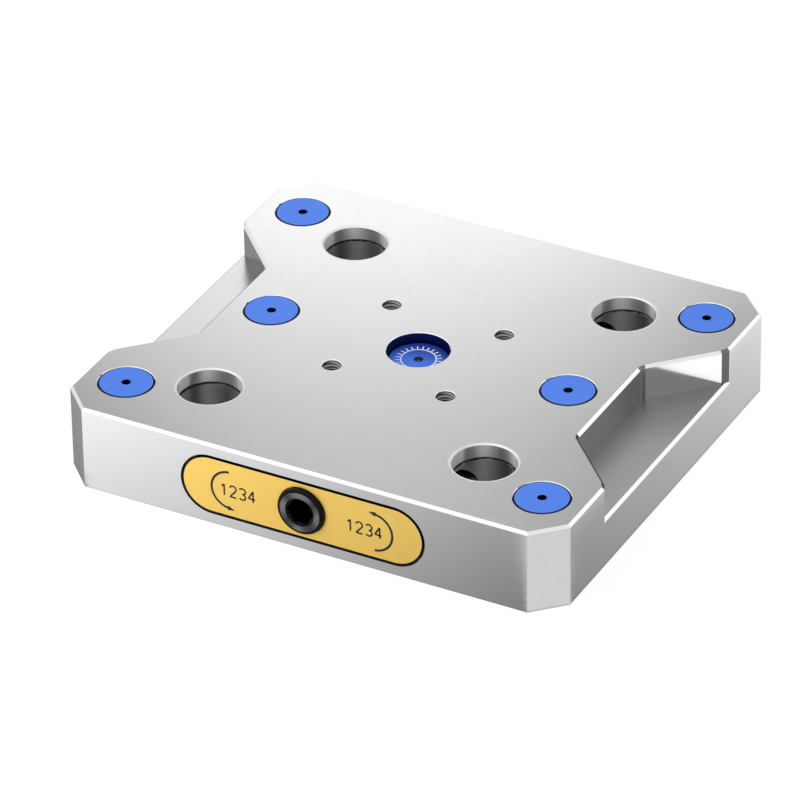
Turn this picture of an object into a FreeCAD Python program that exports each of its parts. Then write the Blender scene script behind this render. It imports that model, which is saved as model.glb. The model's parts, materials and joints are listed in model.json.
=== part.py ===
import FreeCAD, Part
import math
import os

# Zero point clamping plate for round clamping studs on a square grid. A drive screw in
# the front face pulls and pushes a cam slide under the plate. Inclined grooves in the
# slide move four locking pins sideways into the four receiver bores.
# Millimetres. Origin at the middle of the underside, +X along the front face, +Z up,
# with the drive screw in the face that looks along -Y. Drawn unclamped: pins drawn back.

# Base plate
plate_length = 174.0
plate_depth = 154.0
plate_height = 29.0
corner_cut = 9.7
edge_chamfer = 0.9
foot_chamfer = 0.3

# Grip notches, milled down to a ledge in both sides
ledge_height = 17.0
notch_mouth = 88.2
notch_back = 44.8
notch_reach = 20.0
notch_lead = 1.5
notch_flare = 2.7
notch_fillet = 3.0

# Receivers for the clamping studs
receiver_pitch = 96.0
receiver_bore = 20.0
lip_bore = 20.4
lip_thickness = 4.7
lip_chamfer = 0.4
bush_diameter = 28.0
bush_chamfer = 0.2
receiver_seal_thickness = 0.6

# Mounting holes, their caps and the seal rings that hold the caps
corner_bolts_x = 145.0
corner_bolts_y = 115.0
middle_bolts_x = 105.0
bolt_hole = 11.0
counterbore = 18.0
counterbore_depth = 16.0
counterbore_chamfer = 0.2
cap_diameter = 17.2
cap_height = 5.6
cap_chamfer = 0.2
cap_pull_hole = 3.0
cap_pull_depth = 4.0
cap_seal_cord = 1.6

# Centre bore and its plug
centre_bore = 20.0
centre_chamfer = 0.35
plug_depth = 3.5
plug_diameter = 19.2
plug_height = 3.4
plug_dimple = 3.0
plug_seal_cord = 1.2

# Tapped holes round the centre bore
tapped_pitch = 40.0
tapped_hole = 6.0
tapped_depth = 12.0
tapped_chamfer = 0.25
drill_point_angle = 118.0

# Front plate in its pocket
front_pocket_length = 85.0
front_pocket_height = 21.3
front_plate_gap = 1.05
front_plate_thickness = 1.6
front_pad_thickness = 0.6

# Drive screw and its threaded bush
axis_height = 14.3
screw_diameter = 16.0
screw_stand_out = 1.5
screw_end_chamfer = 0.5
screw_head_chamfer = 0.7
screw_neck = 10.0
screw_head = 13.0
screw_head_length = 5.2
socket_across_flats = 8.0
socket_depth = 8.0
socket_lead = 0.4
socket_lead_angle = 30.0
screw_bush_diameter = 20.0
screw_bush_length = 14.3
screw_seal_cord = 1.2
lock_screw = 3.0
lock_screw_length = 4.0
lock_screw_setback = 2.5
lock_point = 2.0
lock_point_length = 1.0
lock_screw_socket = 1.5

# Cam slide
slide_travel = 8.0
cam_slope = 0.5
slide_width = 54.0
slide_thickness = 7.8
slide_end_wall = 2.6
slide_front_margin = 2.6
slide_corner = 4.0
thrust_block_width = 20.0
thrust_block_top = 22.2
thrust_block_gap = 1.6
thrust_front_wall = 4.5
thrust_back_wall = 5.0
thrust_pad_thickness = 2.0
cam_groove_depth = 5.5

# Locking pins
pin_diameter = 16.0
pin_length = 27.0
pin_tip_cone = 4.0
pin_setback = 0.6
key_width = 6.0
key_spread = 5.0
key_from_end = 4.6

# Bottom cover and its countersunk screws
cover_thickness = 3.6
cover_setback = 0.3
cover_side_rim = 2.0
cover_end_rim = 8.0
cover_waist = 80.0
cover_bite = 56.0
cover_corner = 7.0
cover_screw = 4.0
cover_screw_head = 7.6
cover_screw_length = 10.0
cover_screw_socket = 2.5
cover_screw_socket_depth = 2.0
cover_screw_inset = 6.5
waist_screw_pitch = 36.0

# Clearances, the overrun of cutters and the smallest length that counts
running_gap = 0.05
slide_gap = 0.1
seat_gap = 0.02
end_gap = 0.5
cover_gap = 0.15
neck_gap = 0.2
THROUGH = 1.0
TOLERANCE = 0.001

Z_AXIS = FreeCAD.Vector(0, 0, 1)
Y_AXIS = FreeCAD.Vector(0, 1, 0)
X_AXIS = FreeCAD.Vector(1, 0, 0)

# Heights and places that follow from the sizes above
cover_length = receiver_pitch + bush_diameter + 2 * cover_side_rim
cover_depth = receiver_pitch + bush_diameter + 2 * cover_end_rim
cover_top = cover_setback + cover_thickness
slide_floor = cover_top + slide_gap
slide_top = slide_floor + slide_thickness
front_face = -plate_depth / 2
front_pocket_floor = front_face + front_plate_thickness + front_pad_thickness
screw_front = front_face - screw_stand_out
bush_back = front_pocket_floor + screw_bush_length
bush_ceiling = plate_height - lip_thickness - receiver_seal_thickness
receiver = receiver_pitch / 2
pin_tip_x = receiver - receiver_bore / 2 - pin_setback
pin_end_x = pin_tip_x - pin_length
key_x = pin_end_x + key_from_end
cam_reach = slide_travel * cam_slope
groove_half = key_width / 2 + slide_gap
cam_cos = 1 / math.hypot(1, cam_slope)
key_half_y = key_spread / 2 * cam_cos
groove_rear = key_half_y + groove_half
groove_front = slide_travel + key_half_y + groove_half
slide_front_y = -receiver - groove_front - slide_front_margin
slide_rear_y = receiver + groove_rear + slide_end_wall
block_front_y = bush_back + thrust_block_gap
pocket_front_y = min(slide_front_y, block_front_y) - end_gap
pocket_rear_y = slide_rear_y + slide_travel + end_gap
neck_start_y = bush_back + end_gap
head_start_y = block_front_y + thrust_front_wall + seat_gap
screw_end_y = head_start_y + screw_head_length
cavity_back_y = screw_end_y + seat_gap + thrust_pad_thickness + seat_gap
block_back_y = cavity_back_y + thrust_back_wall


def vec(x, y, z):
    return FreeCAD.Vector(x, y, z)


def box(x0, x1, y0, y1, z0, z1):
    """Block between two opposite corners."""
    return Part.makeBox(x1 - x0, y1 - y0, z1 - z0, vec(x0, y0, z0))


def rod(diameter, start, length, axis):
    """Plain cylinder that starts at a point and runs along an axis."""
    return Part.makeCylinder(diameter / 2, length, start, axis)


def prism(points, z0, z1):
    """Upright solid with straight sides over a closed outline in the XY plane."""
    corners = [vec(x, y, z0) for x, y in points]
    face = Part.Face(Part.makePolygon(corners + corners[:1]))
    return face.extrude(vec(0, 0, z1 - z0))


def turned(profile, start, axis):
    """Solid of revolution: (radius, height) points turned round an axis through start."""
    corners = [vec(r, 0, h) for r, h in profile]
    face = Part.Face(Part.makePolygon(corners + corners[:1]))
    solid = face.revolve(vec(0, 0, 0), Z_AXIS, 360)
    return placed(solid, start, axis)


def placed(shape, start, axis):
    """Moves a shape modelled along +Z so that it starts at a point and runs along an axis."""
    turn = FreeCAD.Rotation(Z_AXIS, axis)
    shape.Placement = FreeCAD.Placement(start, turn).multiply(shape.Placement)
    return shape


def obround(start, end, width, height, axis):
    """Solid with a stadium outline round two centres, raised along an axis at right angles."""
    along = (end - start).normalize()
    side = axis.cross(along).multiply(width / 2)
    nose = along.multiply(width / 2)
    a = start + side
    b = start - side
    c = end - side
    d = end + side
    edges = [
        Part.Arc(a, start - nose, b).toShape(),
        Part.LineSegment(b, c).toShape(),
        Part.Arc(c, end + nose, d).toShape(),
        Part.LineSegment(d, a).toShape(),
    ]
    face = Part.Face(Part.Wire(edges))
    return face.extrude(vec(axis.x, axis.y, axis.z).multiply(height))


def ring(cord, outer_diameter, centre, axis):
    """Seal ring of a given outer diameter, its cord squeezed to an octagon as wide as the cord."""
    middle, r = (outer_diameter - cord) / 2, cord / 2
    f = r * math.tan(math.pi / 8)
    section = [(r, -f), (r, f), (f, r), (-f, r), (-r, f), (-r, -f), (-f, -r), (f, -r)]
    return turned([(middle + x, z) for x, z in section], centre, axis)


def upright_edges(shape, x_limit):
    """Vertical edges of a shape on the near side of a plane of constant |x|."""
    return [e for e in shape.Edges if is_upright(e) and abs(e.Vertexes[0].X) < x_limit]


def is_upright(edge):
    low, high = edge.BoundBox.ZMin, edge.BoundBox.ZMax
    flat = edge.BoundBox.XLength + edge.BoundBox.YLength
    return high - low > TOLERANCE and flat < TOLERANCE


def level_edges(shape, z):
    """Edges that lie wholly at one height."""
    return [e for e in shape.Edges if max(abs(e.BoundBox.ZMin - z), abs(e.BoundBox.ZMax - z)) < TOLERANCE]


def four_corners(x, y):
    """The four places (+-x, +-y)."""
    return [(sx * x, sy * y) for sy in (-1, 1) for sx in (-1, 1)]


def one_solid(shape):
    """Merges split faces and returns the single solid of a cut or joined shape."""
    cleaned = shape.removeSplitter()
    return cleaned.Solids[0] if len(cleaned.Solids) == 1 else cleaned


def bolt_places():
    """Mounting holes by name: four at the corners, two half way along the sides."""
    names = ("front_left", "front_right", "rear_left", "rear_right")
    places = dict(zip(names, four_corners(corner_bolts_x / 2, corner_bolts_y / 2)))
    places["middle_left"] = (-middle_bolts_x / 2, 0.0)
    places["middle_right"] = (middle_bolts_x / 2, 0.0)
    return places


def receiver_places():
    names = ("front_left", "front_right", "rear_left", "rear_right")
    return dict(zip(names, four_corners(receiver, receiver)))


def plate_outline():
    """Rectangle with its four corners cut off at 45 degrees."""
    x, y, c = plate_length / 2, plate_depth / 2, corner_cut
    return [
        (-x + c, -y), (x - c, -y), (x, -y + c), (x, y - c),
        (x - c, y), (-x + c, y), (-x, y - c), (-x, -y + c),
    ]


def notch_cutter(side):
    """Trapezium with flared ends that opens one side above the ledge, its inner corners rounded."""
    outer = plate_length / 2
    flare_start = notch_mouth / 2 - notch_flare
    flare_end = notch_mouth / 2 + notch_flare / notch_lead * THROUGH
    points = [
        (outer + THROUGH, -flare_end),
        (outer + THROUGH, flare_end),
        (outer - notch_lead, flare_start),
        (outer - notch_reach, notch_back / 2),
        (outer - notch_reach, -notch_back / 2),
        (outer - notch_lead, -flare_start),
    ]
    cutter = prism([(side * x, y) for x, y in points], ledge_height, plate_height + THROUGH)
    corners = upright_edges(cutter, outer - notch_reach + TOLERANCE)
    return cutter.makeFillet(notch_fillet, corners)


def plate_blank():
    """Outer form of the base plate: outline, side notches and edge chamfers."""
    blank = prism(plate_outline(), 0, plate_height)
    for side in (-1, 1):
        blank = blank.cut(notch_cutter(side))
    side_x = plate_length / 2
    rims = level_edges(blank, plate_height)
    ledge_rims = level_edges(blank, ledge_height)
    rims += [e for e in ledge_rims if abs(abs(e.CenterOfMass.x) - side_x) < TOLERANCE]
    blank = blank.makeChamfer(edge_chamfer, rims)
    return blank.makeChamfer(foot_chamfer, level_edges(blank, 0))


def chamfered_hole(diameter, chamfer, x, y, depth):
    """Cutter for a round hole from the top face, with a chamfered rim."""
    r, rim = diameter / 2, diameter / 2 + chamfer + THROUGH
    profile = [(0, -depth), (r, -depth), (r, -chamfer), (rim, THROUGH), (0, THROUGH)]
    return turned(profile, vec(x, y, plate_height), Z_AXIS)


def tapped_hole_cutter(x, y):
    """Blind hole with the drill's cone at its end, at the thread's outer diameter."""
    r, c = tapped_hole / 2, tapped_chamfer
    point = r / math.tan(math.radians(drill_point_angle / 2))
    rim = r + c + THROUGH
    profile = [(0, -tapped_depth - point), (r, -tapped_depth), (r, -c), (rim, THROUGH), (0, THROUGH)]
    return turned(profile, vec(x, y, plate_height), Z_AXIS)


def bolt_cutters():
    """Through holes and head counterbores of the mounting screws."""
    cutters = []
    for x, y in bolt_places().values():
        cutters.append(rod(bolt_hole, vec(x, y, -THROUGH), plate_height + 2 * THROUGH, Z_AXIS))
        cutters.append(chamfered_hole(counterbore, counterbore_chamfer, x, y, counterbore_depth))
    return cutters


def receiver_cutters():
    """Seats for the receiver bushes from below and lip bores from above."""
    cutters = []
    seat_length = plate_height - lip_thickness - cover_top
    for x, y in receiver_places().values():
        cutters.append(rod(bush_diameter + 2 * seat_gap, vec(x, y, cover_top), seat_length, Z_AXIS))
        cutters.append(chamfered_hole(lip_bore, lip_chamfer, x, y, lip_thickness + THROUGH))
    return cutters


def channel_cutter(y):
    """Round-topped channel for a pair of locking pins, open to the underside."""
    width = pin_diameter + 2 * running_gap
    round_top = rod(width, vec(-receiver, y, axis_height), receiver_pitch, X_AXIS)
    return round_top.fuse(box(-receiver, receiver, y - width / 2, y + width / 2, cover_top, axis_height))


def slide_pocket_cutters():
    """Wide pocket for the slide and a deeper one for its thrust block."""
    half = slide_width / 2 + slide_gap
    wide = box(-half, half, pocket_front_y, pocket_rear_y, cover_top, slide_top + slide_gap)
    wide = wide.makeFillet(slide_corner, upright_edges(wide, half + THROUGH))
    half = thrust_block_width / 2 + slide_gap
    deep_back = block_back_y + slide_travel + end_gap
    deep = box(-half, half, pocket_front_y, deep_back, cover_top, thrust_block_top + slide_gap)
    return [wide, deep]


def cover_outline(gap):
    """Letter H outline of the cover, grown by a gap all round."""
    x, y = cover_length / 2 + gap, cover_depth / 2 + gap
    waist, bite = cover_waist / 2 + gap, cover_bite / 2 - gap
    return [
        (-x, -y), (x, -y), (x, -bite), (waist, -bite), (waist, bite), (x, bite),
        (x, y), (-x, y), (-x, bite), (-waist, bite), (-waist, -bite), (-x, -bite),
    ]


def cover_blank(gap, z0, z1):
    """Cover or its recess, with every corner rounded."""
    blank = prism(cover_outline(gap), z0, z1)
    return blank.makeFillet(cover_corner, upright_edges(blank, cover_length))


def cover_screw_points():
    """Three screws in each quarter: at the waist, beside the bite and in the outer corner."""
    side = cover_length / 2 - cover_screw_inset
    places = four_corners(cover_waist / 2 - cover_screw_inset, waist_screw_pitch / 2)
    places += four_corners(side, cover_bite / 2 + cover_screw_inset)
    return places + four_corners(side, cover_depth / 2 - cover_screw_inset)


def front_pocket(gap, y0, thickness):
    """Stadium-shaped slab in the front face, shrunk by a gap all round."""
    width = front_pocket_height - 2 * gap
    reach = front_pocket_length / 2 - front_pocket_height / 2
    return obround(vec(-reach, y0, axis_height), vec(reach, y0, axis_height), width, thickness, Y_AXIS)


def centre_cutter():
    """Centre bore with the smaller seat of the plug below it."""
    r, c = centre_bore / 2, centre_chamfer
    seat = plug_diameter / 2 + seat_gap
    floor = -plug_depth - plug_height - seat_gap
    rim = r + c + THROUGH
    profile = [
        (0, floor), (seat, floor), (seat, -plug_depth), (r, -plug_depth),
        (r, -c), (rim, THROUGH), (0, THROUGH),
    ]
    return turned(profile, vec(0, 0, plate_height), Z_AXIS)


def lock_screw_form(gap, below):
    """Set screw with a dog point, upright under the bush, grown by a gap and lengthened below."""
    r, point = lock_screw / 2 + gap, lock_point / 2 + gap
    shoulder = axis_height - screw_bush_diameter / 2 - seat_gap
    low = shoulder - lock_screw_length + lock_point_length - below
    tip = shoulder + lock_point_length + gap
    profile = [(0, low), (r, low), (r, shoulder), (point, shoulder), (point, tip), (0, tip)]
    return turned(profile, vec(0, front_pocket_floor + lock_screw_setback, 0), Z_AXIS)


def bush_lock_screw():
    """Set screw that enters the bush from the underside and stops it from turning."""
    screw = lock_screw_form(0, 0)
    start = vec(0, front_pocket_floor + lock_screw_setback, screw.BoundBox.ZMin)
    return screw.cut(hexagon(lock_screw_socket, start, lock_screw_socket, Z_AXIS))


def base_plate():
    """The plate itself, with all its holes and the pockets of the mechanism."""
    cutters = bolt_cutters() + receiver_cutters() + slide_pocket_cutters()
    cutters += [channel_cutter(y) for y in (-receiver, receiver)]
    cutters += [tapped_hole_cutter(x, y) for x, y in four_corners(tapped_pitch / 2, tapped_pitch / 2)]
    cutters.append(cover_blank(cover_gap, -THROUGH, cover_top))
    for x, y in cover_screw_points():
        cutters.append(rod(cover_screw + 2 * seat_gap, vec(x, y, 0), cover_screw_length + THROUGH, Z_AXIS))
    pocket_depth = front_plate_thickness + front_pad_thickness
    cutters.append(front_pocket(0, front_face - THROUGH, pocket_depth + THROUGH))
    bush_start = vec(0, front_pocket_floor, axis_height)
    cutters.append(rod(screw_bush_diameter + 2 * seat_gap, bush_start, screw_bush_length + end_gap, Y_AXIS))
    cutters.append(centre_cutter())
    cutters.append(lock_screw_form(seat_gap, plate_height))
    return one_solid(plate_blank().cut(cutters))


def bottom_cover():
    """Plate that closes the mechanism from below, with countersunk screw holes."""
    cover = cover_blank(0, cover_setback, cover_top)
    holes = [countersunk(x, y, seat_gap, cover_thickness + THROUGH) for x, y in cover_screw_points()]
    holes.append(lock_screw_form(slide_gap, plate_height))
    return one_solid(cover.cut(holes))


def countersunk(x, y, gap, length):
    """Countersunk screw form, head down at the cover's underside, grown by a gap."""
    head, shank = cover_screw_head / 2 + gap, cover_screw / 2 + gap
    profile = [(0, 0), (head, 0), (shank, head - shank), (shank, length), (0, length)]
    return turned(profile, vec(x, y, cover_setback), Z_AXIS)


def hexagon(across_flats, start, depth, axis):
    """Hexagonal prism along an axis, with two of its corners level with the axis."""
    radius = across_flats / math.sqrt(3)
    turns = [math.radians(60 * i) for i in range(6)]
    solid = prism([(radius * math.cos(t), radius * math.sin(t)) for t in turns], 0, depth)
    return placed(solid, start, axis)


def cover_screws():
    """Twelve countersunk screws with hexagon sockets, facing down."""
    screws = []
    for x, y in cover_screw_points():
        start = vec(x, y, cover_setback)
        socket = hexagon(cover_screw_socket, start, cover_screw_socket_depth, Z_AXIS)
        screws.append(countersunk(x, y, 0, cover_screw_length).cut(socket))
    return Part.makeCompound(screws)


def front_plate():
    """Anodised stadium-shaped plate round the drive screw."""
    plate = front_pocket(front_plate_gap, front_face, front_plate_thickness)
    return plate.cut(front_hole(front_face, front_plate_thickness))


def front_pad():
    """Bonding pad that fills the pocket's floor behind the front plate."""
    start = front_face + front_plate_thickness
    pad = front_pocket(slide_gap, start, front_pad_thickness)
    return pad.cut(front_hole(start, front_pad_thickness))


def front_hole(y0, thickness):
    """Hole round the drive screw through a slab in the front face."""
    hole = screw_diameter + 2 * neck_gap
    return rod(hole, vec(0, y0 - THROUGH, axis_height), thickness + 2 * THROUGH, Y_AXIS)


def screw_bush():
    """Threaded bush in the front wall, with a seat for the screw's seal ring."""
    outer, inner = screw_bush_diameter / 2, screw_diameter / 2 + running_gap
    seat = inner + screw_seal_cord + seat_gap
    length, depth = screw_bush_length, screw_seal_cord + slide_gap
    profile = [(seat, 0), (outer, 0), (outer, length), (inner, length), (inner, depth), (seat, depth)]
    bush = turned(profile, vec(0, front_pocket_floor, axis_height), Y_AXIS)
    return bush.cut(lock_screw_form(seat_gap, plate_height))


def screw_seal():
    """Seal ring round the drive screw, in the bush's front seat."""
    centre = vec(0, front_pocket_floor + slide_gap / 2 + screw_seal_cord / 2, axis_height)
    outer = screw_diameter + 2 * running_gap + 2 * screw_seal_cord
    return ring(screw_seal_cord, outer, centre, Y_AXIS)


def drive_screw():
    """Drive screw: socket end outside, neck and thrust head inside."""
    r, neck, head = screw_diameter / 2, screw_neck / 2, screw_head / 2
    c, hc = screw_end_chamfer, screw_head_chamfer
    to_neck = neck_start_y - screw_front
    to_head = head_start_y - screw_front
    end = screw_end_y - screw_front
    profile = [
        (0, 0), (r - c, 0), (r, c), (r, to_neck - c), (r - c, to_neck), (neck, to_neck),
        (neck, to_head), (head, to_head), (head, end - hc), (head - hc, end), (0, end),
    ]
    start = vec(0, screw_front, axis_height)
    socket = hexagon(socket_across_flats, start, socket_depth, Y_AXIS)
    slope = math.tan(math.radians(socket_lead_angle))
    mouth = socket_across_flats / math.sqrt(3) + socket_lead
    lead_in = [(0, -THROUGH), (mouth + THROUGH / slope, -THROUGH), (0, mouth * slope)]
    return turned(profile, start, Y_AXIS).cut([socket, turned(lead_in, start, Y_AXIS)])


def saddle(width, y0, y1):
    """Slot open at the top, with a round bottom on the screw's axis."""
    top = thrust_block_top + THROUGH
    round_bottom = rod(width, vec(0, y0, axis_height), y1 - y0, Y_AXIS)
    return round_bottom.fuse(box(-width / 2, width / 2, y0, y1, axis_height, top))


def cam_groove(side, y):
    """Inclined groove that carries the key of one locking pin through the whole travel."""
    floor = slide_top - cam_groove_depth
    rest, key = cam_key_ends(side, y)
    clamped = rest + vec(side * cam_reach, -slide_travel, 0)
    start = vec(clamped.x, clamped.y, floor)
    end = vec(key.x, key.y, floor)
    return obround(start, end, 2 * groove_half, cam_groove_depth + THROUGH, Z_AXIS)


def cam_key_ends(side, y):
    """Centres of the rounded ends of a pin's key, front end first, along the cam's slope."""
    shift = vec(-side * cam_slope, 1, 0).normalize().multiply(key_spread / 2)
    middle = vec(side * key_x, y, 0)
    return middle - shift, middle + shift


def drive_slide():
    """Flat cam slide with a thrust block that holds the screw's head."""
    half = slide_width / 2
    slide = box(-half, half, slide_front_y, slide_rear_y, slide_floor, slide_top)
    slide = slide.makeFillet(slide_corner, upright_edges(slide, half + THROUGH))
    half = thrust_block_width / 2
    slide = slide.fuse(box(-half, half, block_front_y, block_back_y, slide_floor, thrust_block_top))
    notch = screw_bush_diameter / 2 + end_gap
    low, high = slide_floor - THROUGH, slide_top + THROUGH
    cutters = [
        box(-notch, notch, block_front_y - screw_bush_length, block_front_y, low, high),
        saddle(screw_neck + 2 * neck_gap, block_front_y - THROUGH, head_start_y),
        saddle(screw_head + 2 * slide_gap, head_start_y - seat_gap, cavity_back_y),
    ]
    cutters += [cam_groove(side, y) for side in (-1, 1) for y in (-receiver, receiver)]
    return one_solid(slide.cut(cutters))


def thrust_pad():
    """Hardened disc between the screw's end and the slide."""
    return rod(screw_head, vec(0, screw_end_y + seat_gap, axis_height), thrust_pad_thickness, Y_AXIS)


def locking_pin(side, y):
    """Round pin with a conical tip, a flat tail over the slide and a key below the tail."""
    r, cone = pin_diameter / 2, pin_tip_cone
    flat = slide_top + slide_gap
    profile = [(0, 0), (r, 0), (r, pin_length - cone), (r - cone, pin_length), (0, pin_length)]
    pin = turned(profile, vec(side * pin_end_x, y, axis_height), vec(side, 0, 0))
    tail_end = slide_width / 2 + end_gap
    low, high = sorted((side * (pin_end_x - THROUGH), side * tail_end))
    pin = pin.cut(box(low, high, y - pin_diameter, y + pin_diameter, 0, flat))
    front, rear = cam_key_ends(side, y)
    bottom = slide_top - cam_groove_depth + slide_gap
    start, end = vec(front.x, front.y, bottom), vec(rear.x, rear.y, bottom)
    key = obround(start, end, key_width, flat + THROUGH - bottom, Z_AXIS)
    return one_solid(pin.fuse(key))


def receiver_bush(x, y):
    """Hardened bush that guides a stud, with a window for the locking pin."""
    outer, inner, c = bush_diameter / 2, receiver_bore / 2, bush_chamfer
    length = bush_ceiling - cover_top
    profile = [(inner, 0), (outer, 0), (outer, length), (inner + c, length), (inner, length - c)]
    bush = turned(profile, vec(x, y, cover_top), Z_AXIS)
    inwards = vec(-math.copysign(1, x), 0, 0)
    window = rod(pin_diameter + 2 * running_gap, vec(x, y, axis_height), bush_diameter, inwards)
    return bush.cut(window)


def receiver_seal(x, y):
    """Flat seal ring between the plate's lip and the bush."""
    outer, inner = bush_diameter / 2, receiver_bore / 2 + bush_chamfer
    thickness = receiver_seal_thickness
    profile = [(inner, 0), (outer, 0), (outer, thickness), (inner, thickness)]
    return turned(profile, vec(x, y, bush_ceiling), Z_AXIS)


def grooved_plug(diameter, height, chamfer, cord, seat_diameter):
    """Round plug with a chamfered top edge and a groove for its seal ring half way down.

    Returned with its top at z = 0, together with the ring.
    """
    r, c = diameter / 2, chamfer
    groove = seat_diameter / 2 - cord - 2 * seat_gap
    low, high = -height / 2 - cord / 2 - seat_gap, -height / 2 + cord / 2 + seat_gap
    profile = [
        (0, -height), (r - c, -height), (r, -height + c), (r, low), (groove, low),
        (groove, high), (r, high), (r, -c), (r - c, 0), (0, 0),
    ]
    plug = turned(profile, vec(0, 0, 0), Z_AXIS)
    seal = ring(cord, seat_diameter - 2 * seat_gap, vec(0, 0, -height / 2), Z_AXIS)
    return plug, seal


def hole_cap():
    """Cap of a mounting hole, with a hole in the middle to pull it out by."""
    cap, seal = grooved_plug(cap_diameter, cap_height, cap_chamfer, cap_seal_cord, counterbore)
    pull = rod(cap_pull_hole, vec(0, 0, -cap_pull_depth), cap_pull_depth + THROUGH, Z_AXIS)
    return cap.cut(pull), seal


def centre_plug():
    """Plug of the centre bore, with a shallow conical dimple."""
    r = plug_dimple / 2
    seat = plug_diameter + 2 * seat_gap
    plug, seal = grooved_plug(plug_diameter, plug_height, cap_chamfer, plug_seal_cord, seat)
    dimple = turned([(0, -r / 2), (r, 0), (r, THROUGH), (0, THROUGH)], vec(0, 0, 0), Z_AXIS)
    return plug.cut(dimple), seal


def moved(shape, x, y, z):
    """Copy of a shape, shifted."""
    return shape.translated(vec(x, y, z))


def all_parts():
    """Every piece by its node name."""
    parts = {
        "base_plate": base_plate(),
        "bottom_cover": bottom_cover(),
        "cover_screws": cover_screws(),
        "front_plate": front_plate(),
        "front_plate_pad": front_pad(),
        "screw_bush": screw_bush(),
        "bush_lock_screw": bush_lock_screw(),
        "screw_seal": screw_seal(),
        "drive_screw": drive_screw(),
        "drive_slide": drive_slide(),
        "thrust_pad": thrust_pad(),
    }
    for name, (x, y) in receiver_places().items():
        parts["locking_pin_" + name] = locking_pin(math.copysign(1, x), y)
        parts["receiver_bush_" + name] = receiver_bush(x, y)
        parts["receiver_seal_" + name] = receiver_seal(x, y)
    cap, cap_seal = hole_cap()
    for name, (x, y) in bolt_places().items():
        parts["hole_cap_" + name] = moved(cap, x, y, plate_height)
        parts["cap_seal_" + name] = moved(cap_seal, x, y, plate_height)
    plug, plug_seal = centre_plug()
    parts["centre_plug"] = moved(plug, 0, 0, plate_height - plug_depth)
    parts["centre_plug_seal"] = moved(plug_seal, 0, 0, plate_height - plug_depth)
    return parts


os.makedirs("parts", exist_ok=True)
for node, shape in all_parts().items():
    shape.exportStep("parts/" + node + ".step")
    print(node, "solids", len(shape.Solids), "volume", round(shape.Volume, 1), "valid", shape.isValid())
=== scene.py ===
"""Looks of the zero point clamping plate: finishes of its pieces, threads in the small holes,
the printed marks and a plain studio round it. Metres, in the frame of the plate: +X along the
front face, +Y to the rear, +Z up out of the clamping face."""
import json
import math

import bpy
import numpy as np
from mathutils import Matrix, Vector


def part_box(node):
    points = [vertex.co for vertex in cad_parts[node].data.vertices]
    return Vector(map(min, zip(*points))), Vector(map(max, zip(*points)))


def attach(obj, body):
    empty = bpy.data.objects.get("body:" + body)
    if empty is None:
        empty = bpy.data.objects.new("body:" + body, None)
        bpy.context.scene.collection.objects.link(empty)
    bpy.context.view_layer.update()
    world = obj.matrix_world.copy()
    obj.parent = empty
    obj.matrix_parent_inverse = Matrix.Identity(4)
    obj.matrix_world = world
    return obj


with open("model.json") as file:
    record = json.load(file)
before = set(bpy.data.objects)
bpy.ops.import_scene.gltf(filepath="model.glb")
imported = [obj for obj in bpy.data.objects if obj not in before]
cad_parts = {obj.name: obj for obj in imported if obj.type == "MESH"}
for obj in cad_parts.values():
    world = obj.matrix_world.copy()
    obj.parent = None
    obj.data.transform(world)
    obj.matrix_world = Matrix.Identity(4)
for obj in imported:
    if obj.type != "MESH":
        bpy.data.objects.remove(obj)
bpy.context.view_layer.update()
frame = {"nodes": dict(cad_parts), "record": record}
NODES = frame["nodes"]
MM = 0.001

# Places read from the frame
HALF_LENGTH, HALF_DEPTH, PLATE_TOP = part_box("base_plate")[1]
MARKED_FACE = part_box("front_plate")[0].y
screw_low, screw_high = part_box("drive_screw")
SCREW_HEIGHT = (screw_low.z + screw_high.z) / 2
PLUG_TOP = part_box("centre_plug")[1].z
SUNK_TOP = PLUG_TOP + 0.5 * MM
MOUNTS = {mount["name"]: mount for mount in frame["record"]["mounts"]}
TAPPED = MOUNTS["tapped_holes"]["dims"]
TAPPED_HALF_X = TAPPED["spacing_x_mm"] * MM / 2
TAPPED_HALF_Y = TAPPED["spacing_y_mm"] * MM / 2

# Sizes of the plate that its finishes follow. A reach is measured from a hole's axis.
CORNER_CUT = 9.7 * MM
LEDGE_HEIGHT = 17.0 * MM
NOTCH_BACK = 65.8 * MM
NOTCH_FLARE = 84.0 * MM
NOTCH_SIDE = 86.95 * MM
NOTCH_MOUTH = 45.0 * MM
RECEIVER_HALF_PITCH = 48.0 * MM
RECEIVER_REACH = 11.5 * MM
RECEIVER_RIM_REACH = 11.0 * MM
RECEIVER_CHAMFER = 0.45 * MM
TAPPED_REACH = 3.6 * MM
CENTRE_REACH = 10.4 * MM
SMALL_CHAMFER = 0.2 * MM
SCREW_FACE_REACH = 6.9 * MM

# Threads in the tapped holes
THREAD_OUTER = (TAPPED["hole_r_mm"] + 0.02) * MM
THREAD_INNER = 2.48 * MM
THREAD_PITCH = 1.0 * MM
THREAD_ROOT_HALF = 0.47 * THREAD_PITCH
THREAD_FLAT_HALF = 0.06 * MM
THREAD_TOP_GAP = 0.9 * MM
THREAD_TURNS = 9.5
THREAD_STEPS_PER_TURN = 36
THREAD_RUN_IN = 0.4
THREAD_END_RISE = 0.05

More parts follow.
